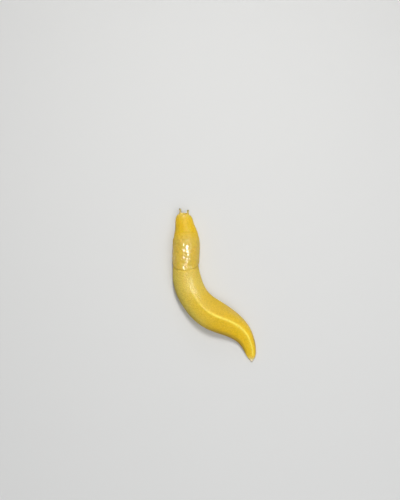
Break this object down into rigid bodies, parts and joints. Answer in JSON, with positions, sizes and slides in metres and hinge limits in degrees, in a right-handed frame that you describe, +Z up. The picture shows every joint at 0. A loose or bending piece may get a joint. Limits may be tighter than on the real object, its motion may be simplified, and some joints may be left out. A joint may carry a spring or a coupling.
{
  "type": "banana slug",
  "caption": "Life-size still model of a yellow banana slug resting on its foot, its body in an easy S-bend from head to tapering tail.",
  "frame": {"origin": "centre of the slug's box in plan, on the floor that its sole rests on", "axes": "+Z up; the head points to -Y and the tail to +Y and -X, so the slug's right side is towards -X"},
  "size_m": [0.0726, 0.1364, 0.0185],
  "materials": {
    "head_skin": "smooth wet skin, golden yellow",
    "mantle_skin": "wet granular skin, ochre yellow",
    "back_skin": "wet finely furrowed skin, greenish yellow",
    "tail_skin": "wet skin, orange yellow",
    "foot_skin": "wet pale skin with fine cross grooves",
    "feeler_skin": "wet skin, pale grey yellow",
    "eye_black": "glossy black"
  },
  "bodies": {
    "root": {"head": "head_skin", "neck": "head_skin", "trunk_front": "back_skin", "trunk_middle": "back_skin", "trunk_rear": "back_skin", "tail_root": "tail_skin", "tail_tip": "tail_skin", "foot_front": "foot_skin", "foot_middle": "foot_skin", "foot_rear": "foot_skin", "foot_tail": "foot_skin", "mantle": "mantle_skin", "upper_tentacle_left": "feeler_skin", "upper_tentacle_right": "feeler_skin", "lower_tentacle_left": "feeler_skin", "lower_tentacle_right": "feeler_skin", "eye_left": "eye_black", "eye_right": "eye_black"}
  },
  "joints": []
}
